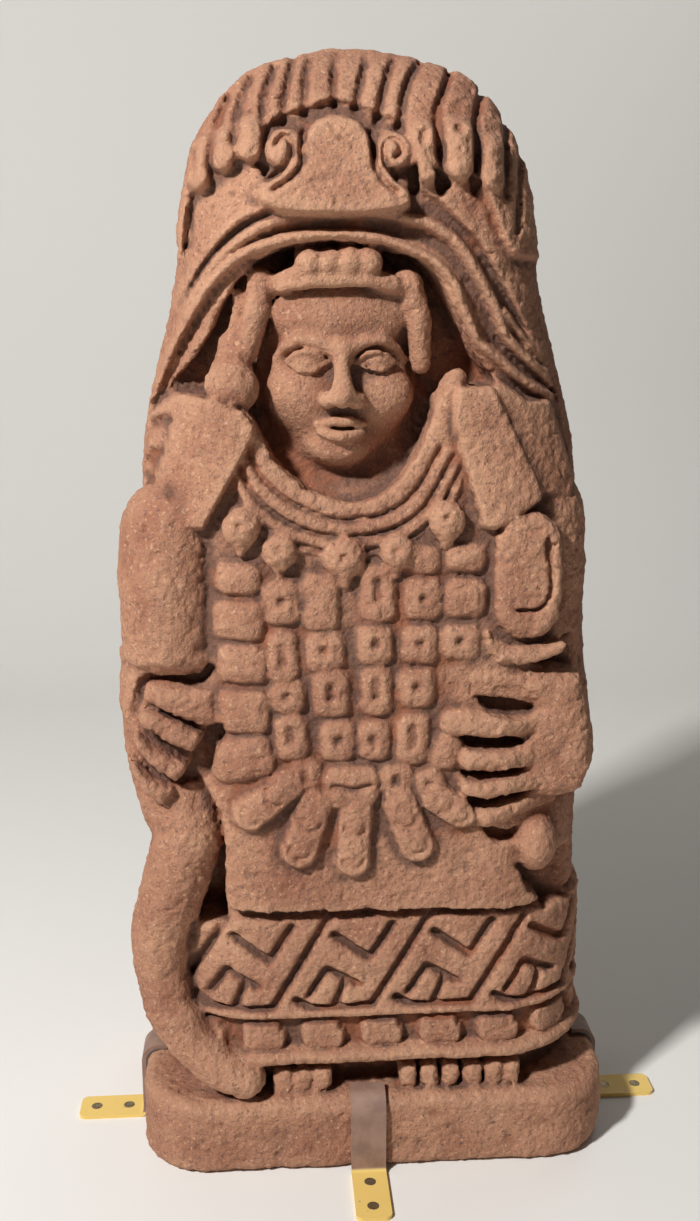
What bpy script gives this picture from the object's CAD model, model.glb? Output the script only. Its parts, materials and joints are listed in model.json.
import json
import math

import bmesh
import bpy
import numpy as np
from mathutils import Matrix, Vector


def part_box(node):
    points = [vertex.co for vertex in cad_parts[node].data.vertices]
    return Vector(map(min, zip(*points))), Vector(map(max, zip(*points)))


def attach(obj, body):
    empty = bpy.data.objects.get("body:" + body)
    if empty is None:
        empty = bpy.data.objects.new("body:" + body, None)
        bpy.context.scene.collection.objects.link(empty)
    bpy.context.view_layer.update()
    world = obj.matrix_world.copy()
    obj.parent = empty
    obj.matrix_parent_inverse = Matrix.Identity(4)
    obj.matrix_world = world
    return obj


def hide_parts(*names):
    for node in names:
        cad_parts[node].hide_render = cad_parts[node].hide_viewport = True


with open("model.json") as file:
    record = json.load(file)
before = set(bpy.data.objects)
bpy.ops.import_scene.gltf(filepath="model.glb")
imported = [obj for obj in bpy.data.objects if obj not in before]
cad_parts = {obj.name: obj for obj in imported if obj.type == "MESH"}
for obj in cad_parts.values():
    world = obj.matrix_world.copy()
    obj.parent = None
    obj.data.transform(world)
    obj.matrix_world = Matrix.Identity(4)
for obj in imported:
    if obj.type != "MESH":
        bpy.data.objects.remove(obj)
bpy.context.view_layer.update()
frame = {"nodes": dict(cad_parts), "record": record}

import openvdb
from mathutils import Vector

# The viewpoint: a visitor's eye a little to the figure's right, looking down on it from close by.
# The lens takes in the whole stone and the stand around its base.
eye_place = Vector((-0.0781, -0.9012, 0.612))
eye_pitch = math.radians(90 - 13.1)
eye_turn = math.radians(-4.0)
lens_mm = 36.7
film_mm = 36.0
eye_data = bpy.data.cameras.new("visitor_eye")
eye_data.lens = lens_mm
eye_data.sensor_width = film_mm
eye_data.clip_start = 0.05
eye = bpy.data.objects.new("visitor_eye", eye_data)
eye.location = eye_place
eye.rotation_euler = (eye_pitch, 0, eye_turn)
bpy.context.scene.collection.objects.link(eye)
bpy.context.scene.camera = eye
bpy.context.scene.view_settings.view_transform = "Standard"

# The room: one pale sweep of floor and wall, a window's light high on the figure's right, and weak fill
# from the other side, from behind and from the sky. The sweep can be looked through from its back, so
# that the back of the stone shows too, with a sky behind it that is paler than the light it gives.
sweep_half_width = 5.0
sweep_back = 1.6
sweep_front = -5.0
sweep_height = 2.6
sweep_radius = 0.5
sweep_steps = 12
profile = [(sweep_front, 0.0), (sweep_back - sweep_radius, 0.0)]
for step in range(1, sweep_steps + 1):
    angle = math.pi / 2 * step / sweep_steps
    profile.append((
        sweep_back - sweep_radius + sweep_radius * math.sin(angle),
        sweep_radius - sweep_radius * math.cos(angle),
    ))
profile.append((sweep_back, sweep_height))
sweep_points = [(side * sweep_half_width, y, z) for y, z in profile for side in (-1, 1)]
sweep_faces = [(2 * n, 2 * n + 1, 2 * n + 3, 2 * n + 2) for n in range(len(profile) - 1)]
sweep_mesh = bpy.data.meshes.new("pale_sweep")
sweep_mesh.from_pydata(sweep_points, [], sweep_faces)
sweep_mesh.shade_smooth()
sweep = bpy.data.objects.new("pale_sweep", sweep_mesh)
bpy.context.scene.collection.objects.link(sweep)
sweep_paint = bpy.data.materials.new("pale_sweep")
sweep_paint.use_nodes = True
sweep_nodes = sweep_paint.node_tree.nodes
sweep_links = sweep_paint.node_tree.links
sweep_shader = sweep_nodes["Principled BSDF"]
sweep_shader.inputs["Base Color"].default_value = (0.80, 0.78, 0.74, 1)
sweep_shader.inputs["Roughness"].default_value = 0.9
seen_from = sweep_nodes.new("ShaderNodeNewGeometry")
open_behind = sweep_nodes.new("ShaderNodeBsdfTransparent")
sweep_sides = sweep_nodes.new("ShaderNodeMixShader")
sweep_links.new(seen_from.outputs["Backfacing"], sweep_sides.inputs["Fac"])
sweep_links.new(sweep_shader.outputs["BSDF"], sweep_sides.inputs[1])
sweep_links.new(open_behind.outputs["BSDF"], sweep_sides.inputs[2])
sweep_links.new(sweep_sides.outputs["Shader"], sweep_nodes["Material Output"].inputs["Surface"])
sweep_mesh.materials.append(sweep_paint)

soft_lights = [
    # name, place, aimed at, size, watts
    ("window", (-1.32, -1.38, 1.95), (0.0, 0.0, 0.45), 0.20, 78.0),
    ("fill", (1.5, -1.7, 0.9), (0.0, 0.0, 0.40), 1.6, 0.8),
    ("rear_glow", (0.9, 1.1, 1.9), (0.0, 0.0, 0.50), 1.0, 4.0),
]
for name, place, target, size, watts in soft_lights:
    lamp_data = bpy.data.lights.new(name, "AREA")
    lamp_data.size = size
    lamp_data.energy = watts
    lamp = bpy.data.objects.new(name, lamp_data)
    lamp.location = place
    lamp.rotation_euler = (Vector(target) - Vector(place)).to_track_quat("-Z", "Y").to_euler()
    bpy.context.scene.collection.objects.link(lamp)
sky_light = 0.05
sky_seen = 0.55
world = bpy.data.worlds.new("even_sky")
world.use_nodes = True
sky = world.node_tree.nodes["Background"]
sky.inputs["Color"].default_value = (1.0, 0.98, 0.95, 1)
seen_directly = world.node_tree.nodes.new("ShaderNodeLightPath")
sky_strength = world.node_tree.nodes.new("ShaderNodeMapRange")
sky_strength.inputs["To Min"].default_value = sky_light
sky_strength.inputs["To Max"].default_value = sky_seen
world.node_tree.links.new(seen_directly.outputs["Is Camera Ray"], sky_strength.inputs["Value"])
world.node_tree.links.new(sky_strength.outputs["Result"], sky.inputs["Strength"])
bpy.context.scene.world = world

# The stone: one block of pitted volcanic rock, carved all round with hammer stones and worn with age.
# It is worked here as the mason would: blocked out, hollowed, its limbs rounded and its dress cut in
# relief. Every place is in millimetres, and places across the figure start from the carver's line.
MM = 0.001
grain = 1.2
spare = 6.0
carver_line = -5.0
base_width = 350.0
base_depth = 200.0
base_height = 58.0
stone_low, stone_high = [np.array(corner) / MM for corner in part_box("stone_figure")]
figure_height = stone_high[2] - base_height
stone_low[0] -= carver_line
stone_high[0] -= carver_line
xs, ys, zs = [
    np.arange(low - spare, high + spare, grain, dtype=np.float32)
    for low, high in zip(stone_low, stone_high)
]
across, deep, up = np.ix_(xs, ys, zs)
sheet_x, sheet_z = np.meshgrid(xs, zs, indexing="ij")


def ease(share):
    """A share from 0 to 1 that starts and stops gently."""
    share = np.clip(share, 0, 1)
    return share * share * (3 - 2 * share)


def join(first, second, blend):
    """Two forms as one, with a worn fillet of the given size between them."""
    near = np.maximum(blend - np.abs(first - second), 0) / blend
    return np.minimum(first, second) - near ** 2 * blend / 4


def cut(first, second, blend):
    """The first form with the second taken out of it, with a worn edge."""
    return -join(-first, second, blend)


def rounded_plan(left, right, front, back, corner):
    """Distance to an upright block with round corners, and how squarely its nearest side faces front."""
    from_middle_x = across - (left + right) / 2
    from_middle_y = deep - (front + back) / 2
    out_x = np.abs(from_middle_x) - (right - left) / 2 + corner
    out_y = np.abs(from_middle_y) - (back - front) / 2 + corner
    beyond = np.hypot(np.maximum(out_x, 0), np.maximum(out_y, 0))
    distance = beyond + np.minimum(np.maximum(out_x, out_y), 0) - corner
    forward = np.where(beyond > 0, np.maximum(out_y, 0) / np.maximum(beyond, 0.001), out_y > out_x)
    return distance, -np.sign(from_middle_y) * forward


def bend(points, steps=6):
    """A smooth line through a few chosen places."""
    places = np.array(points, float)
    ends = [2 * places[0] - places[1], *places, 2 * places[-1] - places[-2]]
    line = []
    for a, b, c, d in zip(ends, ends[1:], ends[2:], ends[3:]):
        for t in np.arange(steps) / steps:
            third = 3 * b - a - 3 * c + d
            line.append(b + 0.5 * ((c - a) * t + (2 * a - 5 * b + 4 * c - d) * t * t + third * t ** 3))
    line.append(places[-1])
    return line


def off_line(points):
    """How far each place of the sheet lies from a line drawn on it."""
    nearest = np.full(sheet_x.shape, 1000.0, np.float32)
    for (x0, z0), (x1, z1) in zip(points, points[1:]):
        run_x, run_z = x1 - x0, z1 - z0
        along = ((sheet_x - x0) * run_x + (sheet_z - z0) * run_z) / max(run_x ** 2 + run_z ** 2, 0.01)
        along = np.clip(along, 0, 1)
        away = np.hypot(sheet_x - x0 - along * run_x, sheet_z - z0 - along * run_z)
        nearest = np.minimum(nearest, away)
    return nearest


def inside(outline):
    """Distance to a closed outline on the sheet, less than zero inside it."""
    within = np.zeros(sheet_x.shape, bool)
    for (x0, z0), (x1, z1) in zip(outline, outline[1:] + outline[:1]):
        if z0 != z1:
            spans = (z0 > sheet_z) != (z1 > sheet_z)
            within ^= spans & (sheet_x < x0 + (sheet_z - z0) * (x1 - x0) / (z1 - z0))
    distance = off_line(outline + outline[:1])
    return np.where(within, -distance, distance)


def tile(x, z, width, height, turn=0.0, corner=4.0):
    """Distance to a small rounded rectangle on the sheet, turned by some degrees."""
    lean = math.radians(turn)
    along_x = (sheet_x - x) * math.cos(lean) + (sheet_z - z) * math.sin(lean)
    along_z = (sheet_z - z) * math.cos(lean) - (sheet_x - x) * math.sin(lean)
    out_x = np.abs(along_x) - width / 2 + corner
    out_z = np.abs(along_z) - height / 2 + corner
    beyond = np.hypot(np.maximum(out_x, 0), np.maximum(out_z, 0))
    return beyond + np.minimum(np.maximum(out_x, out_z), 0) - corner


def raised(distance, height, edge=3.0):
    """A flat raised place with an eased edge."""
    return height * ease(0.5 - distance / edge)


def pillow(distance, height, edge, dome, inset=5.0, dome_edge=8.0):
    """A raised place whose top swells a little more toward its middle."""
    return raised(distance, height, edge) + raised(distance + inset, dome, dome_edge)


def laid(under, form):
    """A relief with a raised form laid on it."""
    return np.where(form > 0, np.maximum(under, form), under)


def cord(points, width, height):
    """A raised cord with a round back."""
    return height * np.sqrt(1 - np.clip(off_line(points) / (width / 2), 0, 1) ** 2)


def score(points, width, depth):
    """A cut line with sloping sides, as a depth."""
    return depth * ease(1 - off_line(points) / (width / 2))


def window(low, high, margin):
    """The part of the stone between two corners, and its places."""
    spans = [
        slice(*np.searchsorted(axis, (a - margin, b + margin)))
        for axis, a, b in zip((xs, ys, zs), low, high)
    ]
    return tuple(spans), np.ix_(*[axis[span] for axis, span in zip((xs, ys, zs), spans)])


def limb(points, blend=4.0, hollow=False):
    """A rounded bar through places (x, y, z, radius), joined to the stone or cut out of it."""
    places = np.array(points, np.float32)
    reach = places[:, 3].max() + blend + 2 * grain
    spans, (x, y, z) = window(places[:, :3].min(0), places[:, :3].max(0), reach)
    form = np.float32(1000.0)
    for (x0, y0, z0, r0), (x1, y1, z1, r1) in zip(places, places[1:]):
        rx, ry, rz = x1 - x0, y1 - y0, z1 - z0
        along = ((x - x0) * rx + (y - y0) * ry + (z - z0) * rz) / max(rx * rx + ry * ry + rz * rz, 0.01)
        along = np.clip(along, 0, 1)
        away = (x - x0 - along * rx) ** 2 + (y - y0 - along * ry) ** 2 + (z - z0 - along * rz) ** 2
        form = np.minimum(form, np.sqrt(away) - r0 - (r1 - r0) * along)
    stone[spans] = (cut if hollow else join)(stone[spans], form, blend)


def egg(centre, radii, blend=4.0, hollow=False, turn=0.0):
    """An egg-shaped form, turned in the front view by some degrees, joined to the stone or cut out."""
    reach = max(radii)
    spans, (x, y, z) = window(np.array(centre) - reach, np.array(centre) + reach, blend + 2 * grain)
    lean = math.radians(turn)
    x, y, z = x - centre[0], y - centre[1], z - centre[2]
    x, z = x * math.cos(lean) + z * math.sin(lean), z * math.cos(lean) - x * math.sin(lean)
    scaled = np.sqrt((x / radii[0]) ** 2 + (y / radii[1]) ** 2 + (z / radii[2]) ** 2)
    slope = np.sqrt((x / radii[0] ** 2) ** 2 + (y / radii[1] ** 2) ** 2 + (z / radii[2] ** 2) ** 2)
    form = scaled * (scaled - 1) / np.maximum(slope, 0.001)
    stone[spans] = (cut if hollow else join)(stone[spans], form, blend)


def sink(distance, floor, blend=2.0):
    """Cuts a place drawn on the sheet straight back to a depth, one number or one for each height."""
    touched = np.argwhere(distance < blend + 2 * grain)
    (i0, k0), (i1, k1) = touched.min(0), touched.max(0) + 1
    drawn = distance[i0:i1, None, k0:k1]
    floor = np.broadcast_to(floor, zs.shape)[None, None, k0:k1]
    part = stone[i0:i1, :, k0:k1]
    part[:] = cut(part, np.maximum(drawn, deep - floor), blend)


def set_on(distance, front, back, edge=6.0):
    """Adds a form drawn on the sheet, from one depth back to another, with a rounded front edge."""
    touched = np.argwhere(distance < 2 * grain)
    (i0, k0), (i1, k1) = touched.min(0), touched.max(0) + 1
    form = cut(distance[i0:i1, None, k0:k1], deep - front, edge)
    part = stone[i0:i1, :, k0:k1]
    part[:] = join(part, np.maximum(form, deep - back), 1.5)


# The block above the skirt: height share of the figure, then its sides as shares of the base's size
block_shares = [
    # height, left, right, front, back
    (0.190, -0.443, 0.437, -0.490, 0.460),
    (0.277, -0.443, 0.437, -0.490, 0.470),
    (0.387, -0.451, 0.437, -0.490, 0.475),
    (0.497, -0.460, 0.431, -0.485, 0.470),
    (0.580, -0.466, 0.420, -0.470, 0.460),
    (0.648, -0.457, 0.403, -0.450, 0.450),
    (0.703, -0.437, 0.374, -0.460, 0.445),
    (0.758, -0.403, 0.334, -0.480, 0.440),
    (0.813, -0.380, 0.314, -0.485, 0.435),
    (0.868, -0.369, 0.297, -0.465, 0.420),
    (0.912, -0.345, 0.268, -0.415, 0.375),
    (0.948, -0.300, 0.228, -0.312, 0.305),
    (0.975, -0.240, 0.168, -0.205, 0.220),
    (0.992, -0.163, 0.090, -0.105, 0.130),
    (1.000, -0.097, 0.015, -0.045, 0.060),
]
corner_share = 0.82
top_corner = 8.0
smoothing = 2 * int(12.0 / grain) + 1
rows = np.array(block_shares)
easing = np.hanning(smoothing + 2)[1:-1]
sides = []
for column, size in zip(range(1, 5), (base_width, base_width, base_depth, base_depth)):
    side = np.interp((zs - base_height) / figure_height, rows[:, 0], rows[:, column]) * size
    side = np.convolve(np.pad(side, smoothing // 2, mode="edge"), easing / easing.sum(), mode="valid")
    sides.append(side.astype(np.float32))
sides[0] -= carver_line
sides[1] -= carver_line
corner = corner_share * np.minimum(sides[1] - sides[0], sides[3] - sides[2]) / 2
block, facing = rounded_plan(*sides, corner)
steepness = np.sqrt(sum(slope ** 2 for slope in np.gradient(block, grain)))
block /= np.maximum(steepness, 1)
block = cut(block, stone_high[2] + 1.0 - up, top_corner)
del steepness

# The dress and the headdress in low relief, drawn on an upright sheet and pushed out of the front:
# first the apron's plaques and the tassels that hang below its clasp
relief = np.zeros(sheet_x.shape, np.float32)
plaque_height = 4.6
hole_width = 6.5
hole_depth = 3.6
plaques = [
    # x, z, width, height, turn, height of the hole or slot in it (0 for none)
    (-91, 447, 30, 20, 0, 0), (-91, 419, 34, 26, -4, 0), (-89, 389, 33, 25, 0, 0),
    (-89, 356, 36, 29, 0, 0), (-91, 322, 44, 29, 12, 0),
    (-62, 431, 24, 30, 6, 5), (-62, 394, 20, 36, 3, 17), (-59, 366, 23, 23, 0, 7), (-57, 338, 22, 33, 4, 14),
    (-37, 430, 24, 38, 0, 0), (-34, 397, 26, 27, 4, 7), (-30, 368, 24, 33, 0, 14), (-25, 334, 24, 28, 0, 8),
    (2, 437, 22, 40, 3, 18), (0, 401, 23, 27, 0, 7), (1, 369, 20, 34, 0, 16), (-1, 334, 22, 27, 0, 8),
    (31, 459, 24, 19, 0, 0), (32, 432, 25, 28, 0, 6), (30, 401, 24, 27, 0, 5), (28, 371, 24, 27, 0, 7),
    (26, 335, 22, 36, -4, 20),
    (60, 459, 27, 17, -4, 0), (60, 432, 28, 25, 0, 0), (57, 402, 26, 23, 0, 6), (49, 326, 19, 27, -20, 0),
    (-48, 309, 23, 25, 0, 9), (15, 305, 24, 24, 0, 9), (38, 301, 22, 24, 20, 7),
]
for x, z, width, height, turn, hole in plaques:
    outline = tile(x, z, width, height, turn, corner=8.0)
    plaque = raised(outline - 0.3, plaque_height, 5.0) + raised(outline + 5.0, 2.0, 8.0)
    if hole:
        plaque = plaque - raised(tile(x, z + 1, hole_width, hole, turn, corner=2.9), hole_depth, 4.0)
    relief = np.where(outline < 2.0, np.maximum(relief, plaque), relief)
tassel_height = 7.0
ring_depth = 2.2
tassels = [((-60, 304), (-86, 283), 11.5), ((-41, 289), (-52, 255), 12), ((-13, 285), (-15, 247), 11.5),
           ((17, 289), (30, 257), 12), ((42, 292), (60, 280), 10.5)]
for start, end, radius in tassels:
    outline = off_line([start, end]) - radius
    tassel = pillow(outline, tassel_height, 3.0, 1.5)
    for reach in (0.30, 0.92):
        run_x, run_z = end[0] - start[0], end[1] - start[1]
        middle = [start[0] + run_x * reach, start[1] + run_z * reach]
        ring = np.abs(off_line([middle, middle]) - radius * 0.62)
        below = (sheet_x - middle[0]) * run_x + (sheet_z - middle[1]) * run_z > 0
        tassel -= ring_depth * ease(1 - ring / 3.0) * below
    relief = np.where(outline < 1.5, np.maximum(relief, tassel), relief)
clasp = tile(-16, 302, 38, 32, 0, 11)
relief = laid(relief, pillow(clasp, 6.5, 3.5, 1.5))
relief -= score([(-29, 303), (-16, 301), (-3, 303)], 6.5, 4.5)

# The collar with its scored rings, and the shawl over the shoulders
collar_height = 4.0
collar_score = 5.0
dent_depth = 3.5
collar = bend([(-100, 560), (-98, 522), (-84, 488), (-62, 470), (-40, 462), (-18, 460), (12, 464), (36, 480),
               (56, 505), (62, 560)])
relief = laid(relief, raised(inside(collar + [(62, 600), (-100, 600)]), collar_height, 3.0))
collar_bands = [
    [(-86, 552), (-78, 520), (-60, 500), (-36, 488), (-18, 485), (6, 489), (26, 503), (43, 532)],
    [(-92, 540), (-82, 506), (-61, 486), (-37, 476), (-18, 474), (9, 478), (32, 493), (51, 526)],
    [(-97, 526), (-86, 494), (-63, 474), (-38, 466), (-18, 464), (11, 468), (37, 484), (58, 520)],
]
for line in collar_bands:
    relief -= score(bend(line), 5.5, collar_score)

shawl = [
    # outline, height
    ([(-120, 580), (-84, 560), (-77, 548), (-78, 540), (-112, 480), (-122, 479), (-142, 499),
      (-145, 508)], 11.0),
    ([(52, 580), (66, 584), (78, 568), (112, 502), (111, 496), (78, 478), (70, 480), (50, 548)], 11.0),
    ([(74, 574), (118, 560), (140, 508), (134, 496), (112, 500)], 7.0),
    ([(-122, 572), (-150, 562), (-176, 512), (-166, 496), (-147, 502)], 6.0),
]
for outline, height in shawl:
    relief = laid(relief, raised(inside(outline), height, 3.0))
dents = [(-140, 547, 16, 7, 25), (-146, 523, 14, 8, 50), (-152, 508, 8, 8, 0)]
for x, z, width, height, turn in dents:
    relief -= raised(tile(x, z, width, height, turn, 3.4), dent_depth, 4.0)

# Crest of feathers, smooth headband, stacked brim and front plate
crest = [(-160, 640), (-124, 652), (-120, 676), (-112, 700), (-108, 712), (-94, 720), (-84, 718), (-72, 724),
         (-62, 735), (-47, 740), (-24, 748), (0, 740), (24, 730), (28, 720), (50, 719), (66, 716), (70, 690),
         (84, 660), (90, 652), (130, 650), (130, 830), (-160, 830)]
crest_height = 6.0
toward_top = 0.35 + 0.65 * ease((794.0 - sheet_z) / 30.0)
relief = laid(relief, raised(inside(crest), crest_height, 3.5) * toward_top)
feather_height = 10.0
feather_tips = [
    ((-112, 700), (-108, 732), 8), ((-96, 712), (-92, 740), 9), ((-79, 716), (-77, 744), 8.5),
    ((29, 704), (28, 740), 9.5), ((52, 707), (53, 742), 10), ((74, 699), (76, 732), 8.5),
]
for tip, root, radius in feather_tips:
    outline = off_line([tip, root]) - radius
    feather_back = pillow(outline, feather_height, 3.5, 2.5, dome_edge=9.0)
    relief = laid(relief, feather_back * ease((root[1] + 8 - sheet_z) / 24.0))
crest_line_width = 9.5
crest_line_worn = 0.85
crest_lines = [
    # line between two feathers, depth before it was worn
    ([(-103, 706), (-100, 728), (-92, 752)], 5.0), ([(-88, 720), (-85, 742), (-77, 764)], 5.0),
    ([(-70, 734), (-68, 750), (-61, 772)], 5.0), ([(-57, 730), (-55, 750), (-48, 782)], 5.0),
    ([(-43, 740), (-42, 762), (-35, 788)], 4.5), ([(-24, 744), (-24, 764), (-19, 789)], 4.5),
    ([(-11, 742), (-5, 766), (2, 789)], 6.0), ([(2, 733), (9, 760), (19, 784)], 6.5),
    ([(16, 729), (22, 757), (35, 779)], 6.5), ([(39, 712), (40, 740), (53, 770)], 6.5),
    ([(64, 706), (65, 734), (74, 758)], 6.0), ([(84, 690), (85, 716), (90, 742)], 5.0),
    ([(92, 668), (95, 700), (100, 722)], 4.5), ([(-120, 660), (-116, 690), (-113, 716)], 4.0),
    ([(-129, 656), (-127, 680), (-122, 712)], 4.0),
]
for line, depth in crest_lines:
    relief -= score(bend(line), crest_line_width, crest_line_worn * depth) * ease((790 - sheet_z) / 22)
relief -= raised(tile(29, 722, 5, 10, -8, 2), 4.0, 3.0) + raised(tile(52, 728, 6, 6, -14, 2), 4.0, 3.0)
relief -= raised(tile(-94, 731, 7, 7, 0, 3), 3.0, 3.0) + raised(tile(-78, 738, 8, 4, 30, 2), 3.0, 3.0)

brim_field = -8.0
brim_cord = 10.0
brim = inside([(-150, 552), (-134, 598), (-116, 642), (-92, 672), (-72, 684), (-60, 692), (27, 692),
               (42, 683), (66, 660), (86, 630), (102, 604), (128, 560), (100, 562), (62, 588), (48, 630),
               (20, 655), (-23, 661), (-60, 657), (-90, 636), (-108, 600), (-126, 568)])
brim_bands = [
    # line, width
    ([(-148, 562), (-131, 596), (-117, 619), (-101, 640), (-79, 655), (-48, 663), (-20, 664), (0, 662),
      (22, 655), (38, 647), (50, 634), (58, 616), (66, 600), (82, 587), (100, 573), (122, 562)], 8.5),
    ([(-146, 578), (-129, 606), (-114, 631), (-95, 654), (-64, 672), (-25, 677), (22, 674), (46, 664),
      (62, 646), (77, 622), (86, 603), (102, 588), (122, 572)], 9.0),
    ([(-143, 592), (-128, 624), (-110, 652), (-88, 673), (-70, 681)], 8.0),
    ([(84, 618), (96, 605), (108, 593), (124, 582)], 7.0),
]
cords = np.full(sheet_x.shape, brim_field, np.float32)
for line, width in brim_bands:
    cords = np.maximum(cords, cord(bend(line), width, brim_cord) + brim_field)
into_brim = ease(0.5 - brim / 3.0)
relief = relief * (1 - into_brim) + cords * into_brim

plate_height = 12.0
volute_height = 11.0
volute_depth = 7.0
plate_outline = bend([(-73, 689), (-71, 682), (-58, 677), (-27, 675), (4, 677), (19, 681), (19, 688),
                      (10, 694), (1, 703), (-3, 714), (-5, 724), (-12, 733), (-24, 736), (-35, 733),
                      (-43, 724), (-47, 713), (-49, 703), (-58, 695)], 3)
plate = raised(inside(plate_outline), plate_height, 3.5)
volute_bars = [
    # line, width
    ([(-69, 688), (-57, 696), (-50, 706)], 9.0), ([(-57, 714), (-56, 716)], 23.0),
    ([(16, 687), (8, 694), (1, 706)], 9.0), ([(10, 713), (11, 715)], 21.0),
]
for line, width in volute_bars:
    plate = np.maximum(plate, pillow(off_line(line) - width / 2, volute_height, 3.0, 2.0, inset=4.0))
relief = laid(relief, plate)
volute_lines = [
    # line, width
    ([(-44, 727), (-47, 716), (-46, 706), (-53, 697), (-64, 690)], 5.0),
    ([(-66, 698), (-58, 703), (-53, 711), (-53, 719), (-58, 722), (-62, 717)], 5.5),
    ([(-3, 727), (-2, 714), (-1, 704), (5, 694), (12, 689)], 5.0),
    ([(13, 696), (7, 703), (4, 712), (6, 720), (12, 721), (15, 714), (11, 710)], 5.5),
]
for line, width in volute_lines:
    relief -= score(bend(line), width, volute_depth)

block -= relief[:, None, :] * ease(facing * 1.6)

# Feathers go on round the sides and the back of the crest, and hang to its lower edge
feathers_half_round = 24.0
crest_foot = 652.0
feather_scallop = 10.0
round_the_head = np.arctan2(deep + 5.0, across + 20.0)
feather = np.abs((round_the_head * feathers_half_round / math.pi) % 1.0 - 0.5) * 2
feather = 2.0 - 5.0 * ease((feather - 0.62) / 0.38)
crest_edge = crest_foot + feather_scallop * np.abs(np.sin(round_the_head * feathers_half_round))
crest_edge = ease((up - crest_edge) / 5.0) * ease((774.0 - up) / 40.0)
block -= feather * crest_edge * (1 - ease(facing * 1.6))
stone = block
del block

# Below the apron: the skirt, its band of frets and its hem laid out on a sheet that is wrapped round
# it, and the strip that the feet stand in
skirt_plan = dict(left=-151.0, right=162.0, front=-88.0, back=90.0, corner=72.0)
skirt_top = 212.0
skirt_foot = 84.0
skirt, _ = rounded_plan(**skirt_plan)
skirt_corner = skirt_plan["corner"]
skirt_middle = (skirt_plan["right"] + skirt_plan["left"]) / 2
skirt_centre = (skirt_plan["back"] + skirt_plan["front"]) / 2
skirt_flat = (skirt_plan["right"] - skirt_plan["left"]) / 2 - skirt_corner
skirt_straight = (skirt_plan["back"] - skirt_plan["front"]) / 2 - skirt_corner
from_edge = (skirt_plan["back"] - skirt_plan["front"]) / 2 - np.abs(deep - skirt_centre)
turn_angle = np.arctan2(
    np.maximum(np.abs(across - skirt_middle) - skirt_flat, 0),
    np.maximum(skirt_corner - from_edge, 0.001),
)
turn_share = np.where(turn_angle < math.pi / 4, np.sin(turn_angle),
                      math.sin(math.pi / 4) + turn_angle - math.pi / 4)
side_run = np.maximum(from_edge - skirt_corner, 0)
around = np.minimum(np.abs(across - skirt_middle), skirt_flat) + skirt_corner * turn_share + side_run
half_round = skirt_flat + skirt_corner * (math.sin(math.pi / 4) + math.pi / 4) + skirt_straight
around = np.where(deep > skirt_centre, 2 * half_round - around, around)
around = (skirt_middle + np.sign(across - skirt_middle) * around)[:, :, 0]
dress_us = np.arange(around.min() - 2 * grain, around.max() + 2 * grain, grain, dtype=np.float32)
front_sheet = (sheet_x, sheet_z)
hem_rows = (zs > skirt_foot - 12) & (zs < skirt_top + 6)
sheet_x, sheet_z = np.meshgrid(dress_us, zs[hem_rows], indexing="ij")
fret_pitch = 72.0
fret_depth = 9.0
fret_width = 7.8
fret_lines = [
    [(-4, 122), (19, 161), (41, 200)],
    [(-28, 185), (-2, 166), (14, 192)],
    [(-46, 137), (-33, 158), (-11, 145)],
    [(-19, 150), (-28, 127)],
    [(-55, 134), (-46, 128), (-28, 126)],
    [(-24, 127), (-2, 128)],
]
off_frets = np.full(sheet_x.shape, 1000.0, np.float32)
for foot in np.arange(-6, 7) * fret_pitch:
    for line in fret_lines:
        off_frets = np.minimum(off_frets, off_line([(foot + x, z) for x, z in line]))
dress = 3.0 * (1 - np.exp(-off_frets / 3.5)) - fret_depth * ease(1 - off_frets / (fret_width / 2))
dress -= raised(199.5 - sheet_z, fret_depth, 5.0)
dress = np.where(np.abs(sheet_z - 110) < 17, 0, dress)
dress += cord([(-600, 123), (600, 123)], 8, 4.0) * (np.abs(sheet_z - 123) < 4)
dress += cord([(-600, 90), (600, 90)], 12, 5.0)
hem_pitch = 43.0
hem_block_height = 8.0
hem_field = 5.0
dress -= raised(np.abs(sheet_z - 107.5) - 11.5, hem_field, 2.5)
for middle in np.arange(-10, 11) * hem_pitch + 7.0:
    dress = np.maximum(dress, raised(tile(middle, 106, 31, 21, 0, 6), hem_block_height, 3.0) - hem_field)
    dress -= raised(tile(middle + hem_pitch / 2 - 1, 114, 17, 9, 0, 2), 7.0, 2.5)
at = (around - dress_us[0]) / grain
step = np.clip(at.astype(int), 0, len(dress_us) - 2)
share = (at - step)[:, :, None]
worked = dress[step] * (1 - share) + dress[step + 1] * share
sash_half_width = 34.0
sash_height = 2.0
plain_sash = ease((sash_half_width - np.abs(across - skirt_middle)) / 4.0) * (deep > 0)
worked = worked * (1 - plain_sash) + sash_height * plain_sash
skirt = np.broadcast_to(skirt, stone.shape)[:, :, hem_rows] - worked
skirt = np.maximum(skirt, np.maximum(skirt_foot - up[:, :, hem_rows], up[:, :, hem_rows] - skirt_top))
sheet_x, sheet_z = front_sheet
apron_foot = 207.0 - 0.02 * across
stone = np.maximum(stone, apron_foot - up)
stone[:, :, hem_rows] = join(stone[:, :, hem_rows], skirt, 2.0)
feet_foot = 40.0
feet_top = 92.0
feet_strip, _ = rounded_plan(-146.0, 154.0, -66.0, 84.0, 60.0)
feet_strip = np.maximum(feet_strip, np.maximum(feet_foot - up, up - feet_top))
stone = join(stone, feet_strip, 3.0)
del feet_strip, skirt, worked

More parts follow.
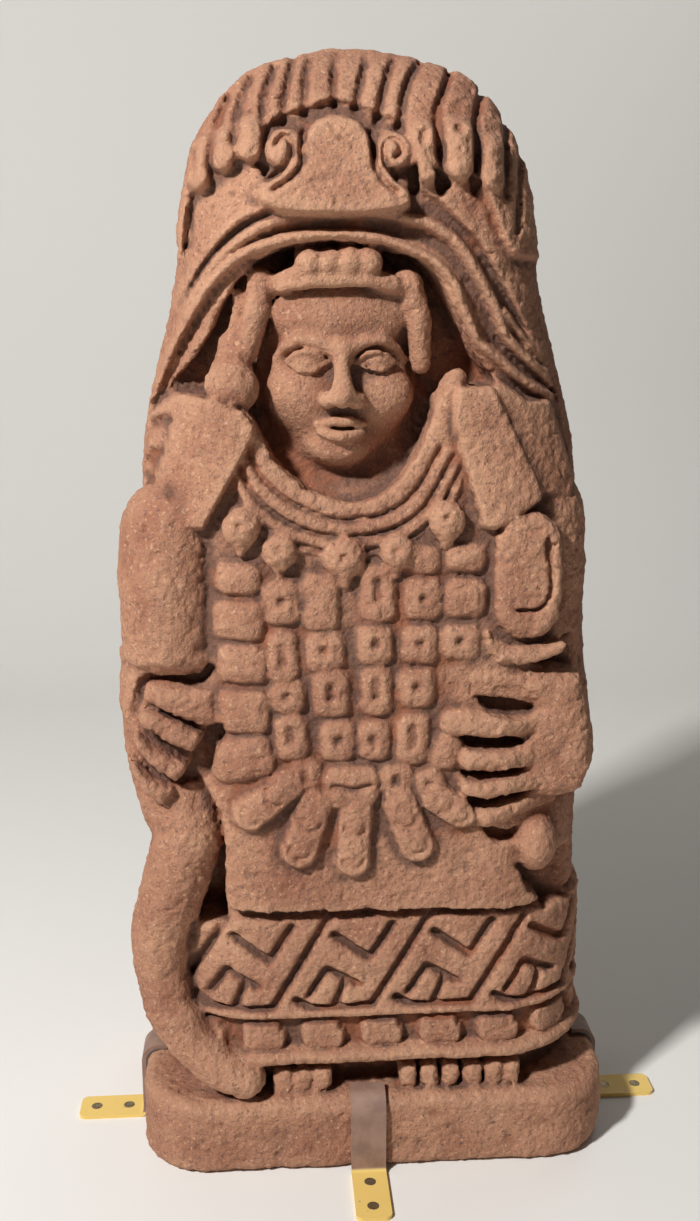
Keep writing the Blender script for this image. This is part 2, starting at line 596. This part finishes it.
# Hollows cut before the limbs are set in front of them
niche = [(38, 550), (44, 566), (60, 570), (80, 572), (66, 592), (50, 622), (34, 646), (10, 657), (-23, 661),
         (-60, 656), (-88, 636), (-106, 604), (-122, 582), (-136, 566), (-122, 566), (-100, 562), (-80, 550),
         (-66, 524), (-46, 506), (-18, 496), (8, 503), (28, 526)]
niche_floor = np.interp(zs, [495, 510, 540, 585, 640], [-82, -66, -52, -42, -38]).astype(np.float32)
sink(inside(bend(niche + niche[:1], 3)), niche_floor, 4.0)
staff_recess = [(-103, 192), (-103, 255), (-107, 280), (-118, 300), (-150, 300), (-200, 290), (-200, 192)]
staff_recess_floor = -38.0
sink(inside(staff_recess), staff_recess_floor, 4.0)
drilled_floor = -80.0
drilled = [
    [(-106, 701), (-98, 707), (-102, 697)], [(-89, 708), (-82, 708), (-85, 703)],
    [(-74, 708), (-66, 705), (-69, 699)], [(20, 703), (24, 706), (27, 694), (22, 690)],
    [(36, 704), (44, 700), (47, 695), (40, 690)], [(60, 700), (67, 697), (62, 691)],
]
for outline in drilled:
    sink(inside(outline) - 1.0, drilled_floor, 2.0)

# Head and face: calm, even and symmetric, on the usual thirds, turned straight forward
face_line = -21.5
face_front = -85.0
brow_height = 597.0
eye_height = 587.0
nose_foot = 558.0
mouth_height = 544.0
chin_height = 518.0
eye_spread = 22.0


def across_face(half):
    """A line from one side of the face to its middle, carried on evenly to the other side."""
    first = [(face_line + x, face_front + y, z, radius) for x, y, z, radius in half]
    return first + [(face_line - x, face_front + y, z, radius) for x, y, z, radius in half[-2::-1]]


egg((face_line, -38.0, 603.0), (56.0, 44.0, 60.0), 3.0)
egg((face_line, -44.0, 563.0), (52.0, 39.0, 45.0), 12.0)
egg((face_line, face_front + 14, chin_height + 13), (20.0, 13.0, 12.0), 14.0)
egg((face_line, face_front + 9, brow_height + 20), (44.0, 10.0, 20.0), 14.0)
for side in (-1, 1):
    eye_x = face_line + side * eye_spread
    egg((face_line + side * 29, face_front + 14, nose_foot + 7), (17.0, 12.0, 15.0), 14.0)
    egg((eye_x, face_front - 6, eye_height), (16.0, 9.5, 8.5), 8.0, hollow=True)
    limb([(face_line + side * 5, face_front - 1.5, brow_height - 2, 3.0),
          (eye_x - side * 6, face_front - 1, brow_height + 2, 2.8),
          (eye_x + side * 5, face_front + 1, brow_height + 3, 2.6),
          (eye_x + side * 15, face_front + 8, brow_height - 2, 2.2),
          (eye_x + side * 20, face_front + 15, brow_height - 9, 2.0)], 8.0)
    egg((eye_x, face_front + 7, eye_height), (11.0, 8.5, 6.6), 2.0)
    limb([(eye_x - side * 12.5, face_front + 1.5, eye_height - 1.5, 1.2),
          (eye_x - side * 6, face_front - 1, eye_height + 4.3, 2.1),
          (eye_x + side * 1, face_front - 1.5, eye_height + 6.0, 2.3),
          (eye_x + side * 8, face_front + 1.5, eye_height + 4.0, 2.1),
          (eye_x + side * 14, face_front + 6.5, eye_height - 1, 1.2)], 1.5)
    limb([(eye_x - side * 12.5, face_front + 1.5, eye_height - 1.5, 1.2),
          (eye_x - side * 5, face_front + 0.5, eye_height - 5.5, 1.9),
          (eye_x + side * 5, face_front + 1.5, eye_height - 6.0, 1.9),
          (eye_x + side * 14, face_front + 6.5, eye_height - 1, 1.2)], 1.5)
    egg((face_line + side * 9.5, face_front - 3, nose_foot + 4), (6.0, 8.0, 5.2), 3.0)
limb([(face_line, face_front, brow_height - 1, 4.6), (face_line, face_front - 6, brow_height - 18, 5.4),
      (face_line, face_front - 11, nose_foot + 7, 7.2)], 7.0)
for side in (-1, 1):
    egg((face_line + side * 5.2, face_front - 9, nose_foot - 0.5), (3.0, 4.2, 2.4), 1.5, hollow=True)
limb(across_face([(-17, 3, mouth_height + 1.5, 2.0), (-6, -2, mouth_height + 4.5, 2.9),
                  (0, -2.5, mouth_height + 4, 2.8)]), 3.0)
limb(across_face([(-14, 2, mouth_height - 3, 2.4), (0, -2, mouth_height - 6, 3.8)]), 3.0)
limb(across_face([(-19, 1, mouth_height + 0.5, 1.3), (-8, -4.2, mouth_height - 0.5, 1.4),
                  (0, -5.2, mouth_height - 0.5, 1.4)]), 1.5, hollow=True)
egg((face_line, face_front - 5, mouth_height - 14), (15.0, 5.0, 3.0), 5.0, hollow=True)

# Hair under the brim, with a bound roll over the brow, side locks and ear discs
limb([(-60, -84, 633, 4.5), (-40, -90, 637, 4.5), (-5, -90, 637, 4.5), (12, -85, 634, 4.5)], 3.0)
for lobe_x, lobe_radius in ((-42, 9.5), (-30, 9.0), (-17, 10.0), (-5, 9.0)):
    limb([(lobe_x, -70, 652, lobe_radius), (lobe_x, -88, 647, lobe_radius)], 2.0)
limb([(-68, -74, 633, 7.0), (-50, -84, 640, 6.5)], 3.0)
limb([(0, -84, 638, 5.0), (14, -80, 634, 6.0)], 3.0)
limb([(-73, -74, 638, 8.5), (-76, -76, 618, 8.5), (-82, -72, 594, 7.5)], 2.0)
limb([(-86, -68, 628, 5.0), (-91, -68, 592, 5.0)], 1.5)
limb([(22, -76, 635, 9.5), (29, -74, 610, 8.5), (32, -68, 585, 7.0)], 2.5)
limb([(-92, -66, 596, 9.0), (-93, -76, 578, 14.0)], 4.0)
egg((-93, -84, 570), (17.5, 12.0, 16.5), 3.0)
egg((50, -82, 565), (9.0, 14.0, 17.0), 3.0, turn=-20)

# Bells of the collar
bell_front = -98.0
bells = [((-88, 481), 12), ((-63, 465), 11.5), ((-20, 460), 14), ((14, 464), 11.5), ((47, 485), 12)]
for (bell_x, bell_z), bell_radius in bells:
    egg((bell_x, bell_front, bell_z), (bell_radius, 9.0, bell_radius), 4.0)
    limb([(bell_x, bell_front, bell_z - 5, 7.0), (bell_x, bell_front, bell_z - bell_radius - 4, 3.0)], 3.0)
    egg((bell_x - 1, bell_front - 9.5, bell_z + 2), (3.6, 4.0, 3.0), 2.0, hollow=True)

# Right arm and hand, closed round the staff that runs down to the base
inner_stone = -50.0
fist_front = -96.0
limb([(-136, -64, 476, 33.0), (-138, -68, 440, 34.0), (-138, -68, 404, 32.0)], 2.0)
limb([(-140, -58, 392, 31.0), (-146, -56, 350, 30.0), (-145, -57, 315, 27.0), (-137, -62, 275, 25.0)], 4.0)
for ring_height, ring_radius in ((405, 5.0), (391, 8.0)):
    limb([(-166, -62, ring_height - 1, ring_radius), (-157, -82, ring_height + 1, ring_radius),
          (-138, -91, ring_height + 2, ring_radius), (-120, -86, ring_height, ring_radius),
          (-112, -76, ring_height - 1, ring_radius)], 4.0)
limb([(-131, -64, 286, 22.0), (-130, -73, 258, 24.5), (-140, -70, 222, 23.5), (-151, -66, 185, 22.0),
      (-153, -66, 155, 20.5), (-147, -70, 125, 19.0), (-132, -78, 100, 17.5), (-112, -86, 82, 16.0),
      (-93, -90, 74, 14.5)], 3.0)
hand_fingers = [
    [(-152, 373), (-136, 372), (-108, 370), (-104, 356), (-107, 345), (-118, 343), (-132, 349), (-147, 357)],
    [(-157, 358), (-136, 351), (-115, 338), (-124, 324), (-140, 332), (-158, 344), (-161, 353)],
    [(-162, 341), (-149, 329), (-127, 315), (-136, 303), (-150, 313), (-161, 326), (-165, 336)],
    [(-167, 323), (-154, 309), (-137, 299), (-146, 288), (-158, 297), (-166, 312)],
]
for finger in hand_fingers:
    set_on(inside(finger), fist_front, inner_stone, 9.0)
between_fingers = [
    # line, how far back it is cut
    ([(-161, 358), (-148, 356), (-133, 349), (-119, 342), (-110, 336)], -83.0),
    ([(-165, 347), (-158, 343), (-149, 335), (-136, 325), (-122, 315)], -81.0),
    ([(-168, 334), (-161, 326), (-152, 315), (-143, 307), (-132, 300)], -78.0),
    ([(-170, 318), (-165, 305), (-157, 295), (-145, 284)], -72.0),
]
for line, floor in between_fingers:
    sink(off_line(bend(line)) - 1.6, floor, 2.0)
cuff_shadow = [(-172, 338), (-167, 346), (-161, 360), (-155, 375), (-141, 377), (-119, 375), (-110, 384)]
sink(off_line(bend(cuff_shadow)) - 2.5, -76.0, 2.0)
grip_shadow = [(-103, 347), (-113, 340), (-123, 323), (-125, 315), (-135, 302), (-124, 300), (-113, 306),
               (-109, 326), (-101, 337)]
sink(inside(grip_shadow), -74.0, 3.0)

# Left arm with its sleeve and bracelet, and the open hand laid on the apron
sleeve_front = -104.0
bracelet_front = -102.0
hand_front = -99.0
hand_gap_floor = -84.0
limb([(114, -50, 480, 36.0), (118, -50, 440, 34.0), (118, -44, 402, 33.0)], 4.0)
limb([(118, -44, 402, 33.0), (124, -40, 370, 33.0), (130, -40, 335, 33.0), (133, -44, 306, 33.0)], 6.0)
set_on(tile(102, 446, 46, 86, 0, 22), sleeve_front, inner_stone, 9.0)
bracelet = [(75, 414), (80, 404), (92, 399), (110, 398), (129, 400), (127, 393), (116, 386), (98, 384),
            (83, 388), (74, 399)]
set_on(inside(bracelet), bracelet_front, inner_stone, 5.0)
back_of_hand = [(48, 391), (66, 389), (90, 386), (115, 380), (143, 375), (148, 352), (151, 330), (153, 306),
                (146, 292), (131, 286), (112, 288), (102, 300), (102, 330), (106, 350), (112, 354), (96, 362),
                (66, 366), (50, 374), (42, 383)]
set_on(inside(back_of_hand), hand_front, -40.0, 14.0)
open_hand = [
    [(118, -84, 345, 12.0), (84, -99, 344, 11.0), (53, -99, 346, 10.0)],
    [(118, -86, 320, 11.0), (88, -99, 319, 10.0), (66, -100, 320, 9.0)],
    [(118, -86, 300, 10.0), (90, -99, 299, 9.5), (67, -100, 298, 8.5)],
    [(124, -80, 287, 9.5), (98, -93, 284, 8.5), (78, -99, 277, 8.0)],
]
for finger in open_hand:
    limb(finger, 0.8)
finger_gaps = [
    [(67, 364), (84, 361), (101, 359), (113, 353), (108, 348), (94, 347), (78, 352)],
    [(57, 336), (76, 334), (95, 335), (104, 329), (96, 326), (66, 326)],
    [(57, 311), (72, 309), (88, 312), (107, 312), (98, 307), (80, 304), (64, 303)],
    [(62, 294), (78, 291), (96, 294), (114, 295), (100, 288), (84, 283), (69, 281)],
]
for gap in finger_gaps:
    sink(inside(gap), hand_gap_floor, 2.0)
below_hand = [(74, 269), (96, 264), (106, 268), (99, 257), (89, 254), (80, 259)]
apron_corner = [(100, 238), (111, 214), (120, 206), (124, 196), (200, 196), (200, 238)]
behind_wrist = [(108, 385), (118, 381), (143, 377), (200, 376), (200, 400), (133, 400), (127, 393)]
sink(inside(below_hand), hand_gap_floor, 3.0)
sink(inside(apron_corner), -58.0, 2.0)
sink(inside(behind_wrist), -66.0, 2.0)
egg((115, -80, 252), (17.5, 26.0, 22.5), 2.0)
sleeve_line = [(114, 472), (117, 448), (116, 432), (108, 424), (93, 424)]
sink(off_line(bend(sleeve_line)) - 1.2, -98.0, 3.0)

# Toes of the two feet, below the hem
toe_front = -90.0
toe_width = 13.5
toe_length = 19
for toe_x in (-65, -51, -37, 27, 43, 59, 75, 91, 105):
    set_on(tile(toe_x, 67, toe_width, toe_length, 0, 5), toe_front, inner_stone, 7.0)

# The base that all of it stands on, with a round rim
base_corner = 50.0
base_rim = 9.0
base_left = -base_width / 2 - carver_line
base_side, _ = rounded_plan(base_left, base_left + base_width, -base_depth / 2, base_depth / 2, base_corner)
out_side = base_side + base_rim
out_top = np.abs(up - base_height / 2) - base_height / 2 + base_rim
base = np.hypot(np.maximum(out_side, 0), np.maximum(out_top, 0))
base += np.minimum(np.maximum(out_side, out_top), 0) - base_rim
stone = join(stone, base, 3.0)
del base, base_side, out_side, out_top

# Wear: edges are rubbed round, faces swell a little, and pores open all over, least on the face
def rubbed(field):
    """The field with its sharpest edges softened."""
    for direction in range(3):
        middle = [slice(None)] * 3
        before, after = list(middle), list(middle)
        middle[direction] = slice(1, -1)
        before[direction] = slice(None, -2)
        after[direction] = slice(2, None)
        soft = field.copy()
        soft[tuple(middle)] = (field[tuple(before)] + 2 * field[tuple(middle)] + field[tuple(after)]) / 4
        field = soft
    return field


def swells(size, seed):
    """Even random swells of a given size over the whole stone, from -1 to 1."""
    shape = [int(len(axis) * grain / size) + 3 for axis in (xs, ys, zs)]
    values = np.random.default_rng(seed).uniform(-1, 1, shape).astype(np.float32)
    for direction, axis in enumerate((xs, ys, zs)):
        at = (axis - axis[0]) / size
        step = at.astype(int)
        share = ease(at - step).reshape([-1 if n == direction else 1 for n in range(3)])
        nearer, farther = np.take(values, step, direction), np.take(values, step + 1, direction)
        values = nearer * (1 - share) + farther * share
    return values


stone = rubbed(stone)
wear = 0.6 * swells(5.5, 13)
wear += 0.6 * swells(3.2, 15)
wear += 0.4 * swells(2.3, 16)
wear += 1.1 * ease((swells(4.4, 14) - 0.45) / 0.45)
face_middle = 578.0
face_half_width = 60.0
face_half_height = 72.0
face_area = np.hypot((across - face_line) / face_half_width, (up - face_middle) / face_half_height)
wear *= 1 - 0.65 * ease((1.1 - face_area) / 0.3) * (deep < -50)
stone += wear
stone += 0.9 * swells(38.0, 11)
stone += 0.7 * swells(13.0, 12)
del wear
stone = np.maximum(stone, -up)

band = 3 * grain
grid = openvdb.FloatGrid(float(band))
grid.copyFromArray(np.clip(stone, -band, band).astype(np.float32))
points, quads = grid.convertToQuads(isovalue=0.0)

# How sheltered each point is, for the dirt and paint that stay in the hollows
coarse = np.clip(stone[::3, ::3, ::3], -12.0, 12.0)
sheltered = coarse
for _ in range(4):
    sheltered = rubbed(sheltered)
at = np.clip(points / 3, 0, np.array(coarse.shape) - 1.001)
step = at.astype(int)
share = at - step
shelter = np.zeros(len(points))
for corner_step in np.ndindex(2, 2, 2):
    weight = np.prod(np.where(corner_step, share, 1 - share), axis=1)
    place = tuple((step + corner_step).T)
    shelter += weight * (sheltered[place] - coarse[place])
shelter = np.clip(-shelter / 2.2, -1, 1)
del stone, coarse, sheltered

places = points * grain + [xs[0] + carver_line, ys[0], zs[0]]
places[:, 2] = np.maximum(places[:, 2], 0)
mesh = bpy.data.meshes.new("goddess_stone")
mesh.vertices.add(len(places))
mesh.vertices.foreach_set("co", (places * MM).astype(np.float32).ravel())
mesh.loops.add(quads.size)
mesh.loops.foreach_set("vertex_index", quads[:, ::-1].astype(np.int32).ravel())
mesh.polygons.add(len(quads))
mesh.polygons.foreach_set("loop_start", np.arange(0, quads.size, 4, dtype=np.int32))
mesh.update(calc_edges=True)
mesh.validate()
mesh.shade_smooth()
layer = mesh.attributes.new("shelter", "FLOAT", "POINT")
layer.data.foreach_set("value", shelter.astype(np.float32))
goddess = bpy.data.objects.new("goddess_stone", mesh)
bpy.context.scene.collection.objects.link(goddess)


def material(name):
    """An empty surface to be painted, with its node list, its links and its shader."""
    paint = bpy.data.materials.new(name)
    paint.use_nodes = True
    nodes = paint.node_tree.nodes
    return paint, nodes, paint.node_tree.links, nodes["Principled BSDF"]


def speckle(nodes, links, scale, detail=4.0, roughness=0.6, seed=0.0):
    """Even random cloud in the object's own space, as a value."""
    coordinates = nodes.new("ShaderNodeTexCoord")
    shifted = nodes.new("ShaderNodeMapping")
    shifted.inputs["Location"].default_value = (seed, seed, seed)
    links.new(coordinates.outputs["Object"], shifted.inputs["Vector"])
    noise = nodes.new("ShaderNodeTexNoise")
    noise.inputs["Scale"].default_value = scale
    noise.inputs["Detail"].default_value = detail
    noise.inputs["Roughness"].default_value = roughness
    links.new(shifted.outputs["Vector"], noise.inputs["Vector"])
    return noise.outputs["Fac"]


def between(nodes, links, value, low, high):
    """A value as a share of the way from low to high."""
    node = nodes.new("ShaderNodeMapRange")
    node.inputs["From Min"].default_value = low
    node.inputs["From Max"].default_value = high
    links.new(value, node.inputs["Value"])
    return node.outputs["Result"]


def blend_colour(nodes, links, share, first, second):
    """One colour turning to another as the share goes from 0 to 1."""
    mix = nodes.new("ShaderNodeMix")
    mix.data_type = "RGBA"
    for socket, colour in ((6, first), (7, second)):
        if isinstance(colour, tuple):
            mix.inputs[socket].default_value = (*colour, 1)
        else:
            links.new(colour, mix.inputs[socket])
    links.new(share, mix.inputs[0])
    return mix.outputs[2]


def times(nodes, links, value, amount):
    """A value made larger or smaller."""
    node = nodes.new("ShaderNodeMath")
    node.operation = "MULTIPLY"
    links.new(value, node.inputs[0])
    if isinstance(amount, float):
        node.inputs[1].default_value = amount
    else:
        links.new(amount, node.inputs[1])
    return node.outputs["Value"]


def roughen(nodes, links, shader, height, strength, distance):
    """Fine bumps of the surface, from a value and the depth in metres that it stands for."""
    bump = nodes.new("ShaderNodeBump")
    bump.inputs["Strength"].default_value = strength
    bump.inputs["Distance"].default_value = distance
    links.new(height, bump.inputs["Height"])
    links.new(bump.outputs["Normal"], shader.inputs["Normal"])


rock, nodes, links, shader = material("volcanic_stone")
mottle = between(nodes, links, speckle(nodes, links, 14.0, 5.0, 0.6), 0.36, 0.64)
grains = between(nodes, links, speckle(nodes, links, 330.0, 3.0, 0.7, 3.0), 0.35, 0.66)
colour = blend_colour(nodes, links, mottle, (0.31, 0.132, 0.078), (0.45, 0.230, 0.138))
dark_grains = between(nodes, links, speckle(nodes, links, 420.0, 2.0, 0.6, 7.0), 0.56, 0.70)
dark_grains = times(nodes, links, dark_grains, 0.75)
colour = blend_colour(nodes, links, dark_grains, colour, (0.13, 0.075, 0.075))
light_grains = between(nodes, links, speckle(nodes, links, 380.0, 2.0, 0.6, 9.0), 0.58, 0.72)
light_grains = times(nodes, links, light_grains, 0.65)
colour = blend_colour(nodes, links, light_grains, colour, (0.62, 0.38, 0.23))
sheltering = nodes.new("ShaderNodeAttribute")
sheltering.attribute_name = "shelter"
hollows = between(nodes, links, sheltering.outputs["Fac"], 0.0, 0.6)
ochre_places = between(nodes, links, speckle(nodes, links, 22.0, 4.0, 0.6, 5.0), 0.50, 0.62)
dirt = times(nodes, links, hollows, 0.75)
colour = blend_colour(nodes, links, dirt, colour, (0.085, 0.045, 0.035))
ochre = times(nodes, links, times(nodes, links, hollows, ochre_places), 0.5)
colour = blend_colour(nodes, links, ochre, colour, (0.38, 0.12, 0.05))
edges = times(nodes, links, between(nodes, links, sheltering.outputs["Fac"], -0.1, -0.9), 0.30)
colour = blend_colour(nodes, links, edges, colour, (0.57, 0.335, 0.205))
links.new(colour, shader.inputs["Base Color"])
links.new(between(nodes, links, grains, -6.0, 1.8), shader.inputs["Roughness"])
shader.inputs["Specular IOR Level"].default_value = 0.25
roughen(nodes, links, shader, grains, 0.55, 0.0012)
mesh.materials.append(rock)
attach(goddess, "root")
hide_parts("stone_figure")

# The clips: four straps of inch-wide flat bar, bent over the rim of the base and screwed to the plinth.
# Each was painted where it stands, its riser to match the stone and its foot to match the plinth.
strap_paint, nodes, links, shader = material("painted_strap")
place = nodes.new("ShaderNodeTexCoord")
height = nodes.new("ShaderNodeSeparateXYZ")
links.new(place.outputs["Object"], height.inputs["Vector"])
stone_paint = blend_colour(
    nodes, links, between(nodes, links, speckle(nodes, links, 60.0, 5.0, 0.6), 0.4, 0.6),
    (0.23, 0.135, 0.10), (0.31, 0.19, 0.14),
)
foot_share = between(nodes, links, height.outputs["Z"], 0.0050, 0.0036)
colour = blend_colour(nodes, links, foot_share, stone_paint, (0.80, 0.56, 0.16))
worn = between(nodes, links, speckle(nodes, links, 190.0, 5.0, 0.65, 4.0), 0.66, 0.70)
worn = times(nodes, links, worn, 0.7)
colour = blend_colour(nodes, links, worn, colour, (0.20, 0.19, 0.18))
links.new(colour, shader.inputs["Base Color"])
links.new(between(nodes, links, speckle(nodes, links, 90.0, 3.0), -0.6, 1.2), shader.inputs["Roughness"])
roughen(nodes, links, shader, speckle(nodes, links, 420.0, 3.0), 0.25, 0.0003)
for side in ("front", "rear", "left", "right"):
    strap = frame["nodes"][side + "_clip"]
    strap.data.materials.clear()
    strap.data.materials.append(strap_paint)
    eased = strap.modifiers.new("eased edges", "BEVEL")
    eased.width = 0.5 * MM
    eased.segments = 2
    eased.limit_method = "ANGLE"
    eased.harden_normals = True

# The liners: strips of grey felt between each strap and the stone, so that the metal never touches it.
# They are glued inside the straps and show only as a thin line along their edges.
felt, nodes, links, shader = material("felt")
fibres = speckle(nodes, links, 900.0, 4.0, 0.8)
colour = blend_colour(
    nodes, links, between(nodes, links, fibres, 0.35, 0.65), (0.035, 0.032, 0.030), (0.10, 0.09, 0.085),
)
links.new(colour, shader.inputs["Base Color"])
shader.inputs["Roughness"].default_value = 1.0
shader.inputs["Sheen Weight"].default_value = 0.4
roughen(nodes, links, shader, fibres, 0.6, 0.0005)
for side in ("front", "rear", "left", "right"):
    liner = frame["nodes"][side + "_liner"]
    liner.data.materials.clear()
    liner.data.materials.append(felt)

# The screws: eight countersunk steel wood screws, two through the foot of each strap into the plinth.
# Only their heads, without the driver's slot, and the start of their shanks are made.
head_radius = 4.25
head_depth = 1.8
shank_radius = 2.35
shank_start = 0.3
rim_break = 0.25
strap_thickness = 3.2
screw_pitch = 25.4
around_steps = 32
steel, nodes, links, shader = material("screw_steel")
tarnish = between(nodes, links, speckle(nodes, links, 500.0, 4.0), 0.4, 0.65)
colour = blend_colour(nodes, links, tarnish, (0.33, 0.27, 0.16), (0.16, 0.11, 0.07))
links.new(colour, shader.inputs["Base Color"])
shader.inputs["Metallic"].default_value = 0.85
links.new(between(nodes, links, tarnish, -0.9, 1.6), shader.inputs["Roughness"])
outline = [
    # radius, height above the plinth
    (0.0, strap_thickness), (head_radius - rim_break, strap_thickness), (head_radius, strap_thickness - 0.15),
    (head_radius, strap_thickness - 0.35), (shank_radius, strap_thickness - head_depth),
    (shank_radius, shank_start), (0.0, shank_start),
]
for clip, turn in (("front", 20), ("rear", 75), ("left", 130), ("right", 50)):
    mount = next(m for m in frame["record"]["mounts"] if m["name"] == clip + "_clip_screws")
    run = (1, 0) if clip in ("left", "right") else (0, 1)
    for end in (-1, 1):
        blank = bmesh.new()
        rings = []
        for radius, height in outline:
            if radius == 0:
                rings.append([blank.verts.new((0, 0, height * MM))])
                continue
            angles = [2 * math.pi * n / around_steps for n in range(around_steps)]
            rings.append([blank.verts.new((radius * MM * math.cos(a), radius * MM * math.sin(a), height * MM))
                          for a in angles])
        for inner, outer in zip(rings, rings[1:]):
            for n in range(around_steps):
                after = (n + 1) % around_steps
                loop = [inner[n % len(inner)], outer[n % len(outer)], outer[after % len(outer)],
                        inner[after % len(inner)]]
                blank.faces.new(dict.fromkeys(loop))
        bmesh.ops.recalc_face_normals(blank, faces=blank.faces)
        screw_mesh = bpy.data.meshes.new(f"{clip}_screw")
        blank.to_mesh(screw_mesh)
        blank.free()
        screw_mesh.materials.append(steel)
        screw = bpy.data.objects.new(f"{clip}_screw_{'outer' if end > 0 else 'inner'}", screw_mesh)
        screw.location = (
            mount["pos_m"][0] + run[0] * end * screw_pitch / 2 * MM,
            mount["pos_m"][1] + run[1] * end * screw_pitch / 2 * MM,
            0,
        )
        screw.rotation_euler = (0, 0, math.radians(turn + 25 * end))
        bpy.context.scene.collection.objects.link(screw)
        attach(screw, "root")
